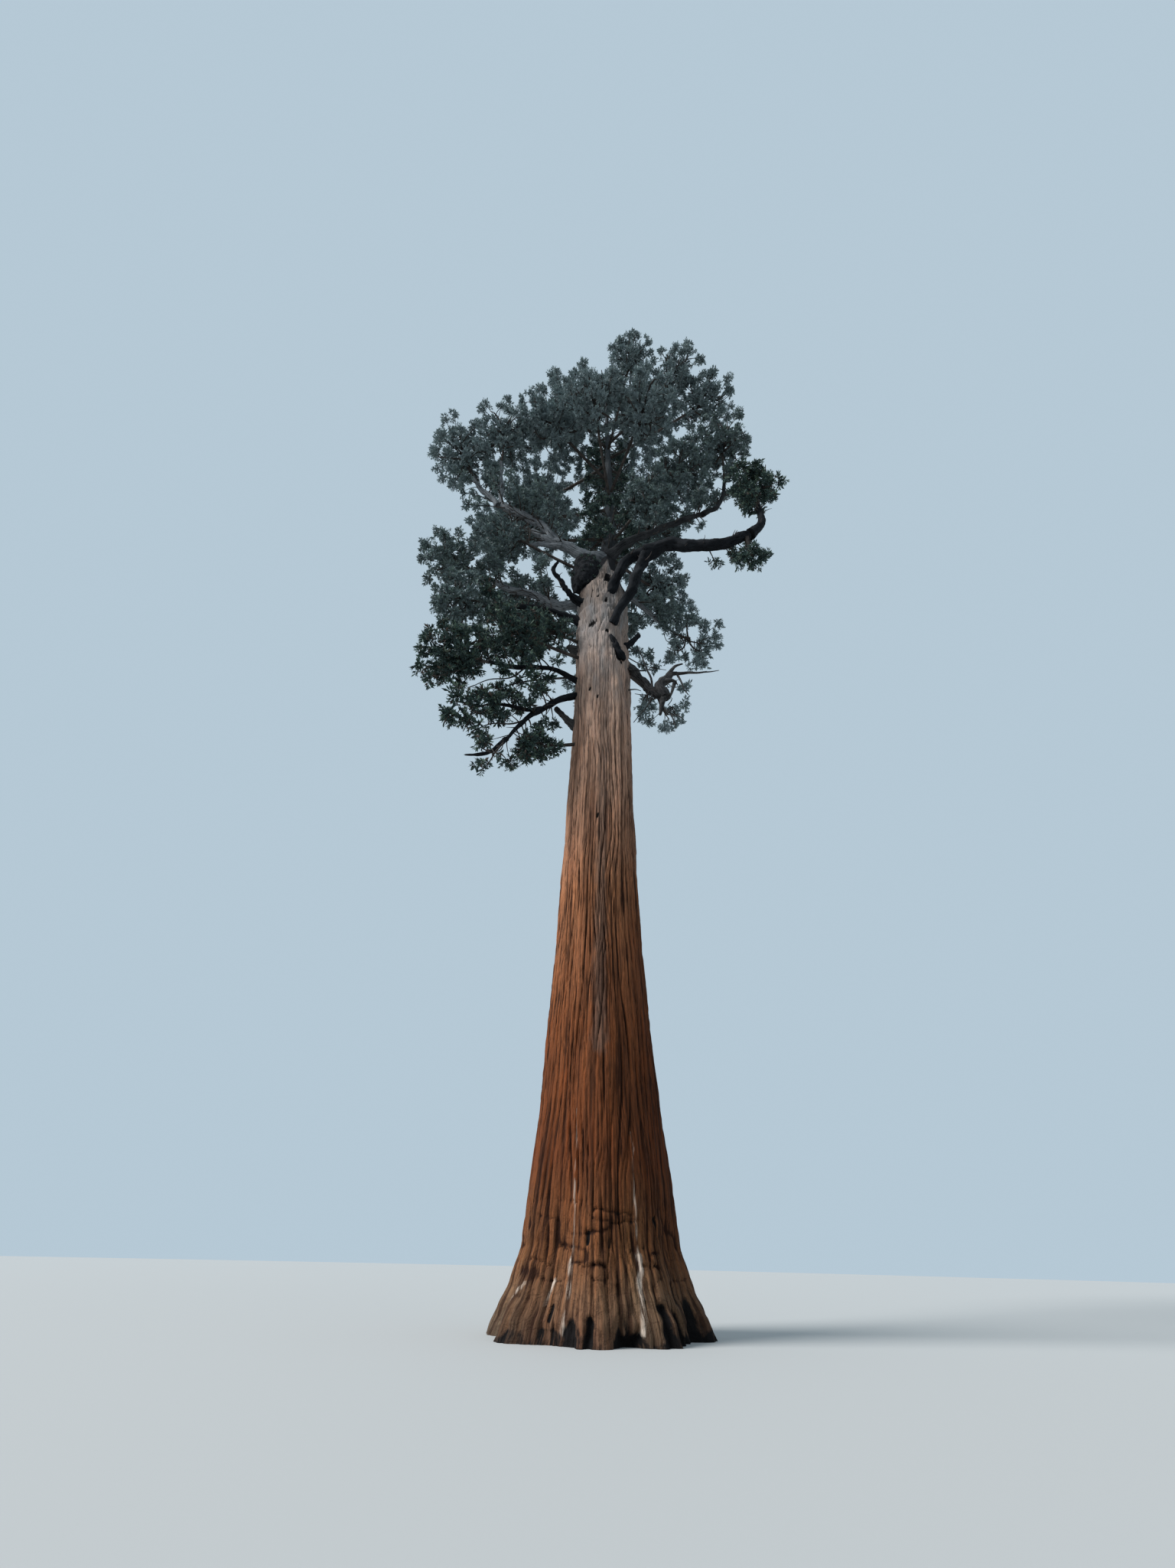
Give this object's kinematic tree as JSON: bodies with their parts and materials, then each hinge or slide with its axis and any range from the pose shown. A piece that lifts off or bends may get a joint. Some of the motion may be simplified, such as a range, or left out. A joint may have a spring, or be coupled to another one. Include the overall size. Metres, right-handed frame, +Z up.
{
  "type": "giant sequoia tree",
  "caption": "Whole giant sequoia with a flared fluted trunk, high boughs, dead limbs and rounded masses of foliage, rooted in the ground.",
  "frame": {"origin": "middle of the flat cut under the trunk, at ground level", "axes": "+Z up along the trunk, +X to the right of the reference view, +Y away from it"},
  "size_m": [13.9048, 10.7582, 39.84],
  "materials": {
    "bark": "thick fibrous cinnamon bark with long vertical furrows, greyer and charred at the foot, pale and weathered near the top",
    "limb_bark": "dark grey-brown bark, smoother than the trunk, with fine furrows along the limb",
    "dead_wood": "bare grey weathered dead wood, cracked and knotty",
    "foliage": "dark green scale-leaved sprays in rounded tufts with lighter green tips and a few brown sprays"
  },
  "bodies": {
    "root": {"trunk": "bark", "arm": "limb_bark", "arm_lower_root": "limb_bark", "arm_upper_root": "limb_bark", "arm_rise": "limb_bark", "upper_right_bough": "limb_bark", "upper_right_rise": "limb_bark", "upper_left_bough": "limb_bark", "upper_left_rise": "limb_bark", "upper_left_fork": "limb_bark", "left_level_bough": "limb_bark", "left_low_bough": "limb_bark", "level_dark_bough": "limb_bark", "drooping_bough": "limb_bark", "drooping_side": "limb_bark", "back_right_bough": "limb_bark", "dead_gnarled_limb": "dead_wood", "dead_limb_hook": "dead_wood", "dead_bent_snag": "dead_wood", "short_right_stub": "dead_wood", "short_left_stub": "dead_wood", "foliage_low_left_outer": "foliage", "foliage_low_left_hanging": "foliage", "foliage_low_left_inner": "foliage", "foliage_dark_left_outer": "foliage", "foliage_dark_left_middle": "foliage", "foliage_dark_left_inner": "foliage", "foliage_left_low": "foliage", "foliage_left_outer": "foliage", "foliage_left_middle": "foliage", "foliage_left_back": "foliage", "foliage_upper_left_low": "foliage", "foliage_upper_left_outer": "foliage", "foliage_upper_left_middle": "foliage", "foliage_upper_left_top": "foliage", "foliage_upper_left_back": "foliage", "foliage_front_left": "foliage", "foliage_front_right": "foliage", "foliage_crest_front": "foliage", "foliage_crest_right": "foliage", "foliage_shoulder_right": "foliage", "foliage_crest_left": "foliage", "foliage_top": "foliage", "foliage_top_left": "foliage", "foliage_top_right": "foliage", "foliage_top_back": "foliage", "foliage_high_back_left": "foliage", "foliage_high_back_right": "foliage", "foliage_high_back_middle": "foliage", "foliage_right_inner": "foliage", "foliage_right_middle": "foliage", "foliage_right_outer": "foliage", "foliage_right_back": "foliage", "foliage_arm_end": "foliage", "foliage_arm_hanging": "foliage", "foliage_back_right_low": "foliage", "foliage_back_right_middle": "foliage", "foliage_back_right_high": "foliage", "foliage_back_low": "foliage", "foliage_back_middle": "foliage"}
  },
  "joints": []
}
